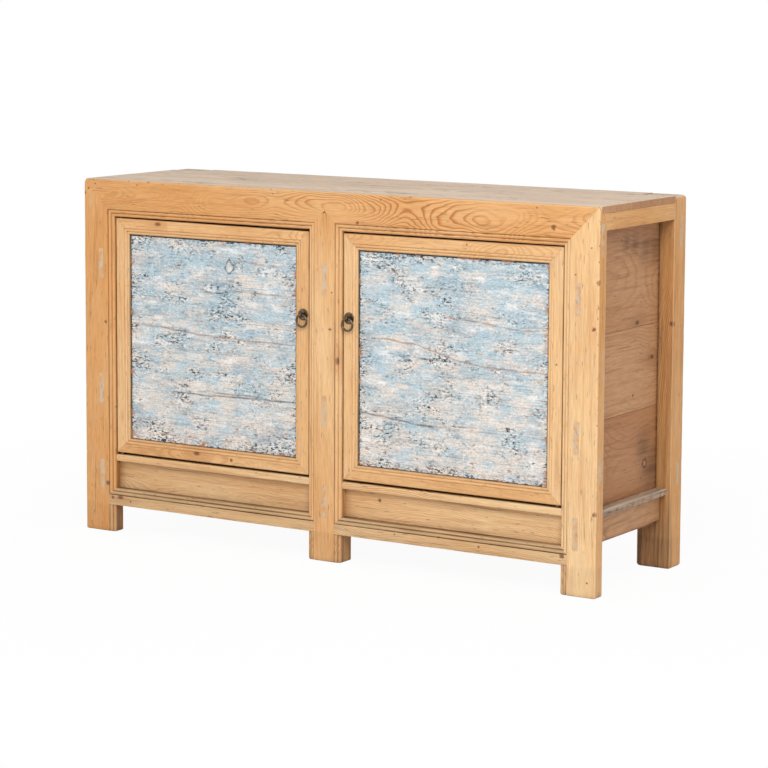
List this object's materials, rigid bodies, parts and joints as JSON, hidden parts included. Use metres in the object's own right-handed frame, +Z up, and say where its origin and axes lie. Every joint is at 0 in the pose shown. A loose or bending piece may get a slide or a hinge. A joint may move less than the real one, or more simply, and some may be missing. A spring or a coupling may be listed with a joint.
{
  "type": "sideboard cabinet",
  "caption": "Low pine sideboard in northern Chinese joinery: painted plank doors on pin hinges, ring pulls, beaded posts that run down to feet, and shelves inside.",
  "frame": {"origin": "on the floor, under the middle of the bounding box", "axes": "+X along the front from its left to its right, +Y from the front to the back, +Z up"},
  "size_m": [1.45, 0.4382, 0.885],
  "materials": {
    "honey_pine": "waxed",
    "weathered_top": "worn matte",
    "brown_side": "waxed",
    "inner_pine": "bare",
    "painted_planks": "worn pale blue and cream paint",
    "dark_iron": "aged dark"
  },
  "bodies": {
    "carcass": {"apron_panel_left": "honey_pine", "apron_panel_right": "honey_pine", "back_boards_left": "inner_pine", "back_boards_right": "inner_pine", "bottom_rail_left": "honey_pine", "bottom_rail_right": "honey_pine", "door_stops": "inner_pine", "floor_bearer_centre": "inner_pine", "floor_bearer_left": "inner_pine", "floor_bearer_right": "inner_pine", "floor_boards": "inner_pine", "front_post_centre": "honey_pine", "front_post_left": "honey_pine", "front_post_right": "honey_pine", "front_top_rail": "honey_pine", "lower_side_rail_left": "brown_side", "lower_side_rail_right": "brown_side", "middle_rail_left": "honey_pine", "middle_rail_right": "honey_pine", "rear_bottom_rail_left": "inner_pine", "rear_bottom_rail_right": "inner_pine", "rear_post_centre": "inner_pine", "rear_post_left": "honey_pine", "rear_post_right": "honey_pine", "rear_top_rail": "inner_pine", "shelf_bearer_centre": "inner_pine", "shelf_bearer_left": "inner_pine", "shelf_bearer_right": "inner_pine", "shelf_boards": "inner_pine", "side_ledge_left": "brown_side", "side_ledge_right": "brown_side", "side_panel_left": "brown_side", "side_panel_right": "brown_side", "top_board_front": "weathered_top", "top_board_middle": "weathered_top", "top_board_rear": "weathered_top", "top_nails": "dark_iron", "upper_side_rail_left": "honey_pine", "upper_side_rail_right": "honey_pine", "upper_stretcher_centre": "inner_pine", "upper_stretcher_left": "inner_pine", "upper_stretcher_right": "inner_pine"},
    "left_door": {"left_door_bottom_rail": "honey_pine", "left_door_hinge_stile": "honey_pine", "left_door_lock_stile": "honey_pine", "left_door_panel": "painted_planks", "left_door_pivots": "dark_iron", "left_door_top_rail": "honey_pine", "left_pull_eye": "dark_iron", "left_pull_plate": "dark_iron"},
    "right_door": {"right_door_bottom_rail": "honey_pine", "right_door_hinge_stile": "honey_pine", "right_door_lock_stile": "honey_pine", "right_door_panel": "painted_planks", "right_door_pivots": "dark_iron", "right_door_top_rail": "honey_pine", "right_pull_eye": "dark_iron", "right_pull_plate": "dark_iron"},
    "left_ring": {"left_pull_ring": "dark_iron"},
    "right_ring": {"right_pull_ring": "dark_iron"}
  },
  "joints": [
    {"name": "left_door_hinge", "type": "hinge", "parent": "carcass", "child": "left_door", "pos_m": [-0.6195, -0.1974, 0.2], "axis": [0, 0, -1], "range_deg": [0, 110]},
    {"name": "right_door_hinge", "type": "hinge", "parent": "carcass", "child": "right_door", "pos_m": [0.6195, -0.1974, 0.2], "axis": [0, 0, 1], "range_deg": [0, 110]},
    {"name": "left_ring_swing", "type": "hinge", "parent": "left_door", "child": "left_ring", "pos_m": [-0.071, -0.2131, 0.589], "axis": [-1, 0, 0], "range_deg": [0, 95]},
    {"name": "right_ring_swing", "type": "hinge", "parent": "right_door", "child": "right_ring", "pos_m": [0.059, -0.2131, 0.589], "axis": [-1, 0, 0], "range_deg": [0, 95]}
  ]
}
